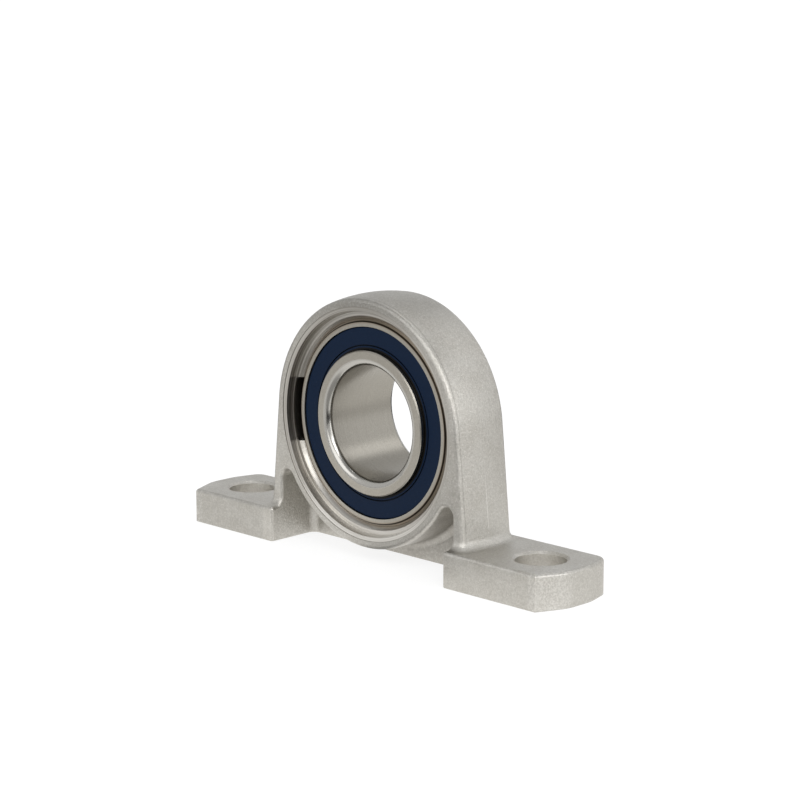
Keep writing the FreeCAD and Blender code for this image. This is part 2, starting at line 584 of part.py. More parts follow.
def make_outer_ring():
    """Outer ring: spherical outside, seal grooves, lands and a raceway."""
    body = new_body("outer_ring")
    profile = new_sketch(body, "YZ_Plane", "outer_ring_profile", up="shaft_height")
    half = [("outer_race_half", "outer_shoulder_radius"), ("groove_foot", "outer_shoulder_radius"),
            ("groove_foot", "seal_groove_radius"), ("seal_face", "seal_groove_radius"),
            ("seal_face", "seal_lip_radius"), ("ring_half", "seal_lip_radius"),
            ("ring_half", "ring_face_radius"), ("sphere_half", "sphere_end")]
    mirrored = [("-" + across, up) for across, up in half]
    draw_outline(profile, mirrored + half[::-1],
                 {len(half) - 1: ("outer_ring_radius", -1, False),
                  2 * len(half) - 1: ("race_radius", 1, False)})
    turn(body, "Revolution", profile, "outer_ring_turned")
    return body


def make_inner_ring():
    """Inner ring, longer at the back, with a raceway and two set screw holes."""
    body = new_body("inner_ring")
    profile = new_sketch(body, "YZ_Plane", "inner_ring_profile", up="shaft_height")
    corners = [("-narrow_bore", "bore_radius"), ("-narrow_side", "bore_mouth"),
               ("-narrow_side", "inner_land"), ("-narrow_land", "inner_ring_radius"),
               ("-inner_race_half", "inner_ring_radius"), ("inner_race_half", "inner_ring_radius"),
               ("wide_land", "inner_ring_radius"), ("wide_side", "inner_land"),
               ("wide_side", "bore_mouth"), ("wide_bore", "bore_radius")]
    draw_outline(profile, corners, {0: ("bore_edge", -1, False), 4: ("race_radius", 1, False),
                                    8: ("bore_edge", -1, False)})
    turn(body, "Revolution", profile, "inner_ring_turned")
    hole = new_sketch(body, "XY_Plane", "screw_hole_outline", out="shaft_height")
    draw_circle(hole, "0", "screw_place", "screw_hole_radius")
    first = cut_depth(body, hole, "screw_hole", "wall_reach", Reversed=True)
    pattern(body, [first], profile, "screw_holes", 2, "screw_angle")
    return body


def make_seal(name, side):
    """Rubber seal: flat face with a groove that frees its lip, and a recess for its steel plate."""
    body = new_body(name)
    profile = new_sketch(body, "YZ_Plane", name + "_profile", up="shaft_height")
    corners = [("seal_face", "seal_inner_radius"), ("seal_face", "crease_near"),
               ("crease_floor", "crease_near"), ("crease_floor", "crease_far"),
               ("seal_face", "crease_far"), ("seal_face", "seal_face_radius"),
               ("seal_bevel_place", "seal_radius"), ("seal_back_place", "seal_radius"),
               ("seal_back_place", "plate_outer_radius"), ("lip_place", "plate_outer_radius"),
               ("lip_place", "plate_inner_radius"), ("seal_back_place", "plate_inner_radius"),
               ("seal_back_place", "lip_radius"), ("lip_place", "lip_radius")]
    draw_outline(profile, [(side + across, up) for across, up in corners])
    turn(body, "Revolution", profile, name + "_turned")
    return body


def make_seal_plate(name, side):
    """Flat steel ring bonded into the back of a seal."""
    body = new_body(name)
    profile = new_sketch(body, "YZ_Plane", name + "_profile", up="shaft_height")
    corners = [("seal_back_place", "plate_inner_radius"), ("lip_place", "plate_inner_radius"),
               ("lip_place", "plate_outer_radius"), ("seal_back_place", "plate_outer_radius")]
    draw_outline(profile, [(side + across, up) for across, up in corners])
    turn(body, "Revolution", profile, name + "_turned")
    return body


# Balls and cage


def ball_total():
    return int(size("ball_total"))


def make_ball(number):
    """One ball, on the pitch circle, counted from the top."""
    ball = doc.addObject("Part::Sphere", f"ball_{number:02d}")
    ball.Label = ball.Name
    angle = f"{number - 1} * 360 / sizes.ball_total"
    bind(ball, Radius="ball_radius")
    ball.setExpression("Placement.Base.x", f"sizes.pitch_radius * sin({angle})")
    ball.setExpression("Placement.Base.z", f"sizes.shaft_height + sizes.pitch_radius * cos({angle})")
    return ball


def make_cage_half(name, side):
    """Pressed half of the ball cage: a flat ring that arches over each ball."""
    body = new_body(name)
    axis = new_sketch(body, "YZ_Plane", name + "_axis", up="shaft_height")
    draw_axis(axis, ("0", "0"), ("pitch_radius", "0"))
    ring = new_sketch(body, "XZ_Plane", name + "_ring", up="shaft_height")
    draw_circle(ring, "0", "0", "cage_outer_radius")
    draw_circle(ring, "0", "0", "cage_inner_radius")
    pad(body, ring, name + "_flat", "cage_sheet", Reversed=(side == ""))

    turn_way = 1 if side == "" else -1
    outside = new_sketch(body, "XY_Plane", name + "_cup", out="cup_floor")
    draw_outline(outside, [("pocket_outside", "0"), ("0", side + "pocket_outside"), ("-pocket_outside", "0")],
                 {corner: ("pocket_outside", turn_way, False) for corner in (0, 1)})
    cup = pad(body, outside, name + "_cup_outside", "cup_height")
    pattern(body, [cup], axis, name + "_cups", ball_total())

    inside = new_sketch(body, "XY_Plane", name + "_cup_hollow", out="cup_floor")
    draw_outline(inside, [("pocket_inside", "0"), ("0", side + "pocket_inside"), ("-pocket_inside", "0")],
                 {corner: ("pocket_inside", turn_way, False) for corner in (0, 1)})
    hollow = cut_depth(body, inside, name + "_cup_inside", "cup_height", Reversed=True)
    pattern(body, [hollow], axis, name + "_cup_hollows", ball_total())

    trim = new_sketch(body, "XZ_Plane", name + "_trim", up="shaft_height")
    draw_circle(trim, "0", "0", "cage_trim_radius")
    draw_circle(trim, "0", "0", "cage_outer_radius")
    cut_through(body, trim, name + "_outer_trim", Reversed=(side == "-"))
    core = new_sketch(body, "XZ_Plane", name + "_core", up="shaft_height")
    draw_circle(core, "0", "0", "cage_inner_radius")
    cut_through(body, core, name + "_inner_trim", Reversed=(side == "-"))

    rivet = new_sketch(body, "XZ_Plane", name + "_rivet_hole", up="shaft_height")
    draw_circle(rivet, "rivet_across", "rivet_up", "rivet_radius")
    hole = cut_through(body, rivet, name + "_rivet_hole_cut", Reversed=(side == "-"))
    pattern(body, [hole], axis, name + "_rivet_holes", ball_total())
    return body


def make_rivets():
    """Rivets that hold the two cage halves together, one between each two balls."""
    body = new_body("cage_rivets")
    body.AllowCompound = True
    profile = new_sketch(body, "YZ_Plane", "rivet_profile", up="shaft_height")
    profile.setExpression("AttachmentOffset.Rotation.Angle", "-sizes.half_pitch * 1deg")
    profile.setExpression("AttachmentOffset.Rotation.Axis.x", "1")
    profile.setExpression("AttachmentOffset.Rotation.Axis.y", "0")
    profile.setExpression("AttachmentOffset.Rotation.Axis.z", "0")
    draw_axis(profile, ("-rivet_top", "pitch_radius"), ("rivet_top", "pitch_radius"))
    draw_outline(profile, [("-rivet_top", "pitch_radius"), ("-rivet_top", "rivet_head_side"),
                           ("-cage_sheet", "rivet_head_side"), ("-cage_sheet", "rivet_side"),
                           ("cage_sheet", "rivet_side"), ("cage_sheet", "rivet_head_side"),
                           ("rivet_top", "rivet_head_side"), ("rivet_top", "pitch_radius")])
    first = turn(body, "Revolution", profile, "rivet", "Axis0")
    pattern(body, [first], profile, "rivets", ball_total())
    return body


# Set screws


def make_set_screws():
    """Two headless screws with a hexagon socket, one at the top and one round the ring."""
    body = new_body("set_screws")
    body.AllowCompound = True
    profile = new_sketch(body, "YZ_Plane", "screw_profile", up="shaft_height")
    draw_axis(profile, ("screw_place", "screw_tip"), ("screw_place", "screw_top"))
    draw_outline(profile, [("screw_place", "screw_tip"), ("screw_bevel_side", "screw_tip"),
                           ("screw_side", "screw_tip_bevel"), ("screw_side", "screw_top_bevel"),
                           ("screw_bevel_side", "screw_top"), ("screw_place", "screw_top")])
    blank = turn(body, "Revolution", profile, "screw", "Axis0")
    socket = new_sketch(body, "XY_Plane", "socket_outline", out="screw_plane")
    draw_outline(socket, [("socket_step", "socket_near"), ("socket_corner", "screw_place"),
                          ("socket_step", "socket_far"), ("-socket_step", "socket_far"),
                          ("-socket_corner", "screw_place"), ("-socket_step", "socket_near")])
    recess = cut_depth(body, socket, "socket", "socket_depth")
    pattern(body, [blank, recess], profile, "screws", 2, "screw_angle")
    return body


# Assembly, tests and files


def make_everything():
    pieces = [make_housing(), make_outer_ring(), make_inner_ring()]
    pieces += [make_seal("seal_front", "-"), make_seal("seal_back", "")]
    pieces += [make_seal_plate("seal_plate_front", "-"), make_seal_plate("seal_plate_back", "")]
    pieces += [make_cage_half("cage_front", "-"), make_cage_half("cage_back", ""), make_rivets()]
    pieces += [make_ball(number) for number in range(1, ball_total() + 1)]
    pieces.append(make_set_screws())
    return pieces


def test_document():
    for item in doc.Objects:
        if "Invalid" in item.State or "Error" in item.State:
            raise RuntimeError(f"{item.Label} failed: {item.State}")


def write_piece(piece):
    shape = piece.Shape
    if shape.isNull() or not shape.isValid() or shape.Volume <= 0:
        raise RuntimeError(f"{piece.Label} has no valid solid")
    shape.exportStep(os.path.join("parts", piece.Label + ".step"))
    print(piece.Label, len(shape.Solids), round(shape.Volume, 2))


fill_sheet()
everything = make_everything()
doc.recompute()
test_document()
os.makedirs("parts", exist_ok=True)
for part_piece in everything:
    write_piece(part_piece)
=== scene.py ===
import json
import math
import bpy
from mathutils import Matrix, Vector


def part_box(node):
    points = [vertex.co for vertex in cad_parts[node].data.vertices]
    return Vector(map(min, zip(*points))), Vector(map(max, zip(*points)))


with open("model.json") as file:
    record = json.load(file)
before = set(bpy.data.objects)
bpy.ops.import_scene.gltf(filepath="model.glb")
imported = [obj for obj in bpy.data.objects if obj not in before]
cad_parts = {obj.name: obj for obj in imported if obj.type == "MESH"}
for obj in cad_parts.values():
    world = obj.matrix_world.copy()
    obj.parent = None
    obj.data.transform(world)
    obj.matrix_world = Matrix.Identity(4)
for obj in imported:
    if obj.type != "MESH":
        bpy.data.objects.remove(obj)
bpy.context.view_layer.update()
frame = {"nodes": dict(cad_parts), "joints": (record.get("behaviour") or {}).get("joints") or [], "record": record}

from types import SimpleNamespace

import bpy
from mathutils import Matrix, Vector

# Looks of a pillow block bearing: blasted cast housing, ground rings, dark blue rubber seals.
# Metres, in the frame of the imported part. Materials work in millimetres.

MM = 0.001

# The bearing's axis runs along Y at this height
RECORD = frame["record"]
SHAFT = next(joint for joint in frame["joints"] if joint["name"] == "shaft_spin")
AXIS_HEIGHT = SHAFT["pos_m"][2]


def half_width(node):
    """Half the size of a round piece across the bearing's axis, in millimetres."""
    low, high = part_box(node)
    return (high.x - low.x) / 2 / MM


def depth(node):
    """Size of a piece along the bearing's axis, in millimetres."""
    low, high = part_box(node)
    return (high.y - low.y) / MM


def mount_sizes(name):
    """Sizes of one of the part's mounts, in millimetres."""
    return next(mount for mount in RECORD["mounts"] if mount["name"] == name)["dims"]


# Sizes that the frame gives, in millimetres
BORE_RADIUS = mount_sizes("shaft_bore")["r_mm"]
BOLT_RADIUS = mount_sizes("base_bolts")["hole_r_mm"]
BOLT_X = mount_sizes("base_bolts")["spacing_x_mm"] / 2
INNER_RADIUS = half_width("inner_ring")
SEAL_RADIUS = half_width("seal_front")
RING_RADIUS = half_width("outer_ring")
HOUSING_LOW, HOUSING_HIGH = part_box("housing")
FOOT_END = HOUSING_HIGH.x / MM
FOOT_FRONT = HOUSING_LOW.y / MM
ARCH_RADIUS = HOUSING_HIGH.z / MM - AXIS_HEIGHT / MM

# Sizes that it doesn't give: the arch's front face, the turned mouth, the counterbore's leaning wall,
# the ledge at its foot, the slots, the outer ring's side face, the rounding of the bore's edge, the
# legs' inner faces, the back of the hollows, and the height, from the axis, where the legs start
ARCH_FRONT = FOOT_FRONT + 3.6
MOUTH_RADIUS = ARCH_RADIUS - 2.9
WALL_RADIUS = MOUTH_RADIUS - 1.06
WALL_LEAN = 0.36
LEDGE_FRONT = ARCH_FRONT + 2.4
SLOT_HALF = depth("outer_ring") / 2 + 2.35
RING_FACE_RADIUS = RING_RADIUS - 1.34
BORE_EDGE = 1.75
LEG_INSIDE = 33.0
HOLLOW_BACK = ARCH_FRONT + 12.2
LEG_START = -22.8


# Shader maths


class Value:
    """A socket of a material, so that shader maths reads as a formula."""

    def __init__(self, finish, socket):
        self.finish = finish
        self.socket = socket

    def __add__(self, other):
        return self.finish.maths("ADD", self, other)

    def __radd__(self, other):
        return self.finish.maths("ADD", other, self)

    def __sub__(self, other):
        return self.finish.maths("SUBTRACT", self, other)

    def __rsub__(self, other):
        return self.finish.maths("SUBTRACT", other, self)

    def __mul__(self, other):
        return self.finish.maths("MULTIPLY", self, other)

    def __rmul__(self, other):
        return self.finish.maths("MULTIPLY", other, self)

    def __truediv__(self, other):
        return self.finish.maths("DIVIDE", self, other)

    def __rtruediv__(self, other):
        return self.finish.maths("DIVIDE", other, self)

    def __pow__(self, other):
        return self.finish.maths("POWER", self, other)

    def __rpow__(self, other):
        return self.finish.maths("POWER", other, self)

    def __abs__(self):
        return self.finish.maths("ABSOLUTE", self)


class Finish:
    """The node tree of a material or world, with one way to make any node."""

    def __init__(self, block):
        self.block = block
        block.use_nodes = True
        self.tree = block.node_tree
        self.tree.nodes.clear()

    def node(self, kind, inputs=None, out=0, **settings):
        """Makes a node, sets it up, fills its sockets with values or links, and returns one output."""
        made = self.tree.nodes.new(kind)
        for name, setting in settings.items():
            setattr(made, name, setting)
        for name, value in (inputs or {}).items():
            if isinstance(value, Value):
                self.tree.links.new(value.socket, made.inputs[name])
            else:
                made.inputs[name].default_value = value
        return Value(self, made.outputs[out]) if made.outputs else None

    def maths(self, operation, first, second=None):
        """Math node on one or two numbers."""
        given = [value for value in (first, second) if value is not None]
        return self.node("ShaderNodeMath", dict(enumerate(given)), operation=operation)

    def place(self):
        """Where a point is on the piece, in millimetres."""
        spot = self.node("ShaderNodeTexCoord", out="Object")
        return self.node("ShaderNodeVectorMath", {0: spot, "Scale": 1 / MM}, operation="SCALE")

    def parts_of(self, spot, axes="XYZ"):
        """Coordinates of a place, one by one."""
        return [self.node("ShaderNodeSeparateXYZ", {0: spot}, out=axis) for axis in axes]

    def length_of(self, spot):
        """Distance of a place from the origin."""
        return self.node("ShaderNodeVectorMath", {0: spot}, out="Value", operation="LENGTH")

    def about_axis(self):
        """Where a point is about the bearing's axis: millimetres, and the angle in radians."""
        spot = self.place()
        right, along, height = self.parts_of(spot)
        up = height - AXIS_HEIGHT / MM
        return SimpleNamespace(spot=spot, right=right, along=along, up=up,
                               radius=(right * right + up * up) ** 0.5,
                               angle=self.maths("ARCTAN2", right, up))

    def noise(self, spot, per_mm, detail=2.0, roughness=0.5):
        """Even noise about 0.5, with so many cells to the millimetre."""
        return self.node("ShaderNodeTexNoise", {"Vector": spot, "Scale": per_mm, "Detail": detail,
                                                "Roughness": roughness}, out="Fac")

    def ring_noise(self, x, y, z, detail=2.0):
        """Noise on coordinates that are already scaled, for marks that run round the axis."""
        return self.noise(self.node("ShaderNodeCombineXYZ", {"X": x, "Y": y, "Z": z}), 1.0, detail)

    def step(self, value, start, end):
        """Soft step from 0 at start to 1 at end."""
        return self.node("ShaderNodeMapRange", {"Value": value, "From Min": start, "From Max": end},
                         interpolation_type="SMOOTHSTEP", clamp=True)

    def band(self, value, low, high, soft):
        """1 between low and high, 0 outside, with soft ends."""
        return self.step(value, low - soft, low + soft) * (1 - self.step(value, high - soft, high + soft))

    def blend(self, share, first, second):
        """Mixes two colours by a share from 0 to 1."""
        return self.node("ShaderNodeMix", {"Factor": share, 6: first, 7: second}, out=2, data_type="RGBA")

    def tint(self, share, colour, factors):
        """Multiplies a colour by factors for red, green and blue, as far as the share says."""
        return self.node("ShaderNodeMix", {"Factor": share, 6: colour, 7: (*factors, 1.0)}, out=2,
                         data_type="RGBA", blend_type="MULTIPLY")

    def bump(self, height, depth_mm):
        """Relief of the given depth in millimetres."""
        return self.node("ShaderNodeBump", {"Height": height, "Strength": 1.0, "Distance": depth_mm * MM})

    def surface(self, colour, roughness, relief, metallic=1.0, **constants):
        """Principled surface. Colour, roughness and relief may vary, the rest is constant."""
        inputs = {"Base Color": colour, "Roughness": roughness, "Normal": relief, "Metallic": metallic}
        inputs.update({name.replace("_", " "): value for name, value in constants.items()})
        shader = self.node("ShaderNodeBsdfPrincipled", inputs)
        self.node("ShaderNodeOutputMaterial", {"Surface": shader})
        return self.block


def rgb(red, green, blue):
    """Linear colour from the 0 to 255 values that a screen shows, with full alpha."""
    def linear(level):
        level = level / 255
        return level / 12.92 if level <= 0.04045 else ((level + 0.055) / 1.055) ** 2.4
    return linear(red), linear(green), linear(blue), 1.0


# Materials


CAST_DARK = rgb(172, 169, 162)
CAST_PLAIN = rgb(182, 180, 174)
CAST_LIGHT = rgb(196, 193, 187)
CAST_SPECK = rgb(216, 214, 209)
CAST_SCRATCH = rgb(150, 147, 141)
SAND_LIGHT = rgb(226, 224, 220)
SAND_DARK = rgb(140, 137, 131)
TURNED_DARK = rgb(150, 146, 139)
TURNED_LIGHT = rgb(190, 187, 181)
TURNED_PAINTED_LIGHT = rgb(232, 229, 223)
FOOT_CORNER_PAINTED_LIGHT = rgb(214, 212, 208)
BOLT_HOLE_LIGHT = rgb(224, 221, 215)
SEAM_LIGHT = rgb(232, 230, 226)
RING_DARK = rgb(168, 164, 155)
RING_LIGHT = rgb(180, 176, 167)
RING_LINES = rgb(150, 145, 136)
RING_RIM = rgb(156, 144, 129)
RING_POLISHED = rgb(180, 178, 173)
SEAL_DARK = rgb(4, 22, 44)
SEAL_BLUE = rgb(8, 28, 52)
SEAL_DUST = rgb(90, 98, 112)
SEAL_LIP_SHADOW = rgb(16, 15, 15)

# Shades: factors for red, green and blue
MOUTH_EDGE_SHADE = (0.50, 0.49, 0.47)
SLOT_SHADE = (0.42, 0.42, 0.43)
ARCH_TOP_SHADE = (0.81, 0.81, 0.81)
FRONT_TOP_SHADE = (0.80, 0.80, 0.80)
HOLLOW_SHADE = (0.72, 0.71, 0.70)
LEFT_FOOT_SHADE = (0.88, 0.88, 0.88)
ARCH_EDGE_LINE = (0.62, 0.61, 0.60)
BORE_SHADE = (0.80, 0.80, 0.80)
RING_GAP_SHADE = (0.10, 0.09, 0.08)
SEAL_RIM_SHADE = (0.15, 0.15, 0.15)
SEAL_GROOVE_SHADE = (0.45, 0.45, 0.45)


def blasted(f, at, grain, blotches):
    """Colour of the blasted casting: clouds, blotches, grain, bright specks and a faint drawn grain."""
    clouds = f.step(f.noise(at.spot, 0.13, 4.0, 0.6), 0.35, 0.65)
    specks = f.step(f.noise(at.spot, 3.2), 0.56, 0.70)
    lengthwise = f.node("ShaderNodeMapping", {"Vector": at.spot, "Scale": (0.35, 2.2, 2.2)})
    drawn = f.step(f.noise(lengthwise, 1.0, 3.0), 0.45, 0.62)
    colour = f.blend(clouds, CAST_DARK, CAST_PLAIN)
    colour = f.blend(blotches * at.cast * 0.30, colour, CAST_LIGHT)
    colour = f.blend(f.step(grain, 0.30, 0.70) * 0.50, colour, CAST_LIGHT)
    colour = f.blend(specks * at.cast * 0.55, colour, CAST_SPECK)
    return f.blend(drawn * at.cast * 0.08, colour, CAST_SCRATCH)


def turned_mouth(f, at, rings, colour):
    """Turned mouth: rings, painted light at its bottom, painted shade along two edges and in the front of the
    slots.
    """
    colour = f.blend(at.turned, colour, f.blend(f.step(rings, 0.35, 0.65), TURNED_DARK, TURNED_LIGHT))
    # Painted light: the bottom of the turned mouth is made brighter.
    painted_bottom_light = at.turned * (1 - f.step(at.up, -27.0, -16.0))
    colour = f.blend(painted_bottom_light * 0.62, colour, TURNED_PAINTED_LIGHT)
    mouth_edge = f.band(at.radius, MOUTH_RADIUS - 0.10, MOUTH_RADIUS + 0.06, 0.05)
    wall_edge = f.band(at.radius, WALL_RADIUS - 0.02, WALL_RADIUS + 0.12, 0.05)
    # Painted shade: dark lines at the mouth's edge and where its bevel meets the counterbore wall.
    colour = f.tint((mouth_edge + wall_edge) * 0.6, colour, MOUTH_EDGE_SHADE)
    wall = f.band(at.radius, WALL_RADIUS - WALL_LEAN, WALL_RADIUS, 0.04)
    past_ledge = f.step(at.along, LEDGE_FRONT, LEDGE_FRONT + 0.4)
    round_ring = f.step(at.radius, RING_RADIUS, RING_RADIUS + 0.4)
    slots = f.band(at.up, -SLOT_HALF, SLOT_HALF, 0.3) * f.maths("MAXIMUM", wall, past_ledge * round_ring)
    front_half = 1 - f.step(at.along, -0.4, 0.4)
    # Painted shade: the turned surfaces across the slots are darkened in their front half.
    return f.tint(slots * at.turned * front_half, colour, SLOT_SHADE)


def arch_and_hollows(f, at, colour):
    """Painted shade: a darker top of the arch, darker still on its front face, and in the hollow at the right."""
    colour = f.tint(f.step(at.up, 27.5, 32.0), colour, ARCH_TOP_SHADE)
    arch_face = 1 - f.step(at.along, ARCH_FRONT + 0.3, ARCH_FRONT + 0.9)
    colour = f.tint(f.step(at.up, 20.0, 29.0) * arch_face, colour, FRONT_TOP_SHADE)
    hollow = f.band(at.along, ARCH_FRONT + 1.0, HOLLOW_BACK, 0.8) * at.cast
    hollow = hollow * (1 - f.step(at.across, LEG_INSIDE, LEG_INSIDE + 0.3))
    hollow = hollow * (1 - f.step(at.up, -21.0, -19.0)) * f.step(at.right, -14.0, -4.0)
    return f.tint(hollow, colour, HOLLOW_SHADE)


def feet(f, at, colour):
    """Painted light on the front corners of the feet, painted shade on the front of the left one, and bright bolt
    holes.
    """
    # Painted light: the feet's front corners are brightened.
    colour = f.blend(at.foot_corners * 0.20, colour, FOOT_CORNER_PAINTED_LIGHT)
    # Painted shade: the front face of the left foot is darkened.
    left_foot = 1 - f.step(at.right, -36.0, -34.0)
    foot_face = 1 - f.step(at.along, FOOT_FRONT + 0.2, FOOT_FRONT + 0.8)
    colour = f.tint(left_foot * foot_face, colour, LEFT_FOOT_SHADE)
    from_bolt = f.length_of(f.node("ShaderNodeCombineXYZ", {"X": at.across - BOLT_X, "Y": at.along}))
    bolt_hole = 1 - f.step(from_bolt, BOLT_RADIUS + 0.03, BOLT_RADIUS + 0.08)
    return f.blend(bolt_hole * 0.45, colour, BOLT_HOLE_LIGHT)


def arch_lines(f, at, colour):
    """Dark line where the arch's front edge is rounded, and the mould's bright seam low on the legs."""
    low_part = 1 - f.step(at.up, -1.0, 0.0)
    arch = f.step(at.radius, ARCH_RADIUS - 1.6, ARCH_RADIUS - 1.2) * (1 - low_part)
    legs = f.step(at.across, ARCH_RADIUS - 1.0, ARCH_RADIUS - 0.7) * low_part
    outside = (arch + legs) * f.step(at.up, LEG_START, LEG_START + 0.8)
    edge = f.band(at.along, ARCH_FRONT + 1.25, ARCH_FRONT + 1.45, 0.10)
    colour = f.tint(edge * outside * 0.7, colour, ARCH_EDGE_LINE)
    seam = f.band(at.along, -0.10, 0.10, 0.08) * (1 - f.step(at.up, -14.0, -6.0))
    return f.blend(seam * outside * 0.5, colour, SEAM_LIGHT)


def cast_steel():
    """Bead-blasted cast stainless steel, with turned surfaces inside the mouth."""
    f = Finish(bpy.data.materials.new("cast_steel"))
    at = f.about_axis()
    at.across = abs(at.right)
    at.turned = 1 - f.step(at.radius, MOUTH_RADIUS - 0.03, MOUTH_RADIUS + 0.03)
    at.cast = 1 - at.turned
    at.foot_corners = f.step(at.across, FOOT_END - 7.0, FOOT_END - 5.0) * (1 - f.step(at.along, -5.0, -2.0))
    grain = f.noise(at.spot, 2.6, 4.0, 0.7)
    blotches = f.step(f.noise(at.spot, 0.75, 3.0, 0.6), 0.30, 0.70)
    sand = f.noise(at.spot, 1.9, 2.0, 0.6)
    rings = f.ring_noise(at.radius * 2.4, at.along * 2.4, at.angle * 0.5, 3.0)
    colour = blasted(f, at, grain, blotches)
    colour = turned_mouth(f, at, rings, colour)
    colour = arch_and_hollows(f, at, colour)
    colour = feet(f, at, colour)
    colour = f.blend(f.step(sand, 0.50, 0.62) * at.cast * (0.13 + at.foot_corners * 0.12), colour, SAND_LIGHT)
    colour = f.blend(f.step(sand, 0.50, 0.38) * at.cast * (0.13 + at.foot_corners * 0.08), colour, SAND_DARK)
    colour = arch_lines(f, at, colour)
    roughness = 0.40 + (grain - 0.5) * 0.34 * at.cast + (blotches - 0.5) * 0.05
    roughness = roughness + at.turned * ((rings - 0.5) * 0.20 - 0.05)
    relief = f.bump((grain + blotches * 0.35) * at.cast + rings * at.turned * 0.35, 0.09)
    return f.surface(colour, roughness, relief)


def ring_steel():
    """Ground bearing steel: matt faces, a honed bore, polished edges and lands."""
    f = Finish(bpy.data.materials.new("ring_steel"))
    at = f.about_axis()
    grain = f.noise(at.spot, 3.0, 3.0)
    lines = f.ring_noise(at.along * 7.0, at.angle * 0.8, at.radius * 7.0)
    bore = 1 - f.step(at.radius, BORE_RADIUS + 0.02, BORE_RADIUS + 0.08)
    edge = f.band(at.radius, BORE_RADIUS + 0.05, BORE_RADIUS + BORE_EDGE, 0.08)
    land = f.band(at.radius, INNER_RADIUS - 0.08, INNER_RADIUS + 0.5, 0.04)
    rim = f.step(at.radius, RING_FACE_RADIUS - 0.6, RING_FACE_RADIUS)
    gap_shade = f.band(at.radius, RING_FACE_RADIUS - 0.05, RING_FACE_RADIUS + 0.35, 0.05)
    colour = f.blend(f.step(grain, 0.3, 0.7), RING_DARK, RING_LIGHT)
    colour = f.blend(lines * 0.4, colour, RING_LINES)
    colour = f.blend(rim * 0.8, colour, RING_RIM)
    colour = f.blend(edge, colour, RING_POLISHED)
    colour = f.tint(bore, colour, BORE_SHADE)
    # Painted shade: a dark band at the outer edge of the outer ring's face, where it meets the housing.
    colour = f.tint(gap_shade, colour, RING_GAP_SHADE)
    roughness = 0.38 + (lines - 0.5) * 0.12 - edge * 0.17 - bore * 0.08 - land * 0.14
    return f.surface(colour, roughness, f.bump(lines * (1 - edge), 0.006))


def seal_rubber():
    """Dark blue nitrile rubber, moulded smooth, with faint rings from the mould."""
    f = Finish(bpy.data.materials.new("seal_rubber"))
    at = f.about_axis()
    grain = f.noise(at.spot, 1.6, 4.0, 0.6)
    rings = f.ring_noise(at.radius * 5.0, at.angle * 0.4, at.along)
    dust = f.step(f.noise(at.spot, 2.2), 0.68, 0.76)
    rim_shade = f.step(at.radius, SEAL_RADIUS - 0.34, SEAL_RADIUS - 0.26)
    lip_shadow = 1 - f.step(at.radius, INNER_RADIUS + 0.55, INNER_RADIUS + 0.75)
    groove_shade = f.band(at.radius, INNER_RADIUS + 1.02, INNER_RADIUS + 1.45, 0.05)
    colour = f.blend(grain, SEAL_DARK, SEAL_BLUE)
    colour = f.blend(dust * 0.12, colour, SEAL_DUST)
    # Painted shade at the seal's outer rim, next to the outer ring.
    colour = f.tint(rim_shade, colour, SEAL_RIM_SHADE)
    # Painted shadow: the lip next to the inner ring is made near black.
    colour = f.blend(lip_shadow, colour, SEAL_LIP_SHADOW)
    # Painted shade in the groove line near the lip.
    colour = f.tint(groove_shade, colour, SEAL_GROOVE_SHADE)
    roughness = 0.46 + (grain - 0.5) * 0.16
    relief = f.bump(rings + grain * 0.6, 0.012)
    return f.surface(colour, roughness, relief, metallic=0.0, Specular_IOR_Level=0.10)


def small_steel(name, light, roughness):
    """Steel of a small piece: mottled a little, with fine relief."""
    f = Finish(bpy.data.materials.new(name))
    grain = f.noise(f.place(), 2.5, 4.0, 0.6)
    dark = [level - 16 for level in light]
    colour = f.blend(f.step(grain, 0.3, 0.7), rgb(*light), rgb(*dark))
    return f.surface(colour, roughness + (grain - 0.5) * roughness * 0.5, f.bump(grain, 0.01))


FINISHES = {
    "cast_steel": cast_steel(),
    "ring_steel": ring_steel(),
    "seal_rubber": seal_rubber(),
    "plate_steel": small_steel("plate_steel", (170, 168, 162), 0.35),
    "cage_steel": small_steel("cage_steel", (178, 176, 170), 0.30),
    "ball_steel": small_steel("ball_steel", (205, 205, 205), 0.06),
    "screw_steel": small_steel("screw_steel", (140, 137, 132), 0.35),
}

for part in RECORD["subparts"]:
    frame["nodes"][part["node"]].material_slots[0].material = FINISHES[part["material_slot"]]


# Floor, light and camera


WHITE = (1.0, 1.0, 1.0, 1.0)
FLOOR_GREY = (0.86, 0.86, 0.86, 1.0)
WARM_WHITE = (1.0, 0.99, 0.97, 1.0)

# Distances from the bearing in metres: the floor turns white, and what metal mirrors changes
FLOOR_RADIUS = 14.0
WHITE_FROM, WHITE_AT = 0.25, 0.7
NEAR_END, FAR_START = 0.10, 0.14
OUTER_START, OUTER_END = 0.27, 0.36

# What the camera sees: share of white in the near floor, and the white's strength
NEAR_WHITE = 0.76
FLOOR_WHITE = 1.10

# Strengths of the room's light and of the floor that metal mirrors: near the bearing, at its left
# front and at its right back. Shares that are lost in front of the bearing, further off and overhead
ROOM_LEVEL = 0.78
NEAR_LEVEL = 1.12
LEFT_FRONT_LEVEL = 0.90
RIGHT_BACK_LEVEL = 0.85
FRONT_LOSS = 0.60
OUTER_LOSS = 0.5
OVERHEAD_LOSS = 0.45

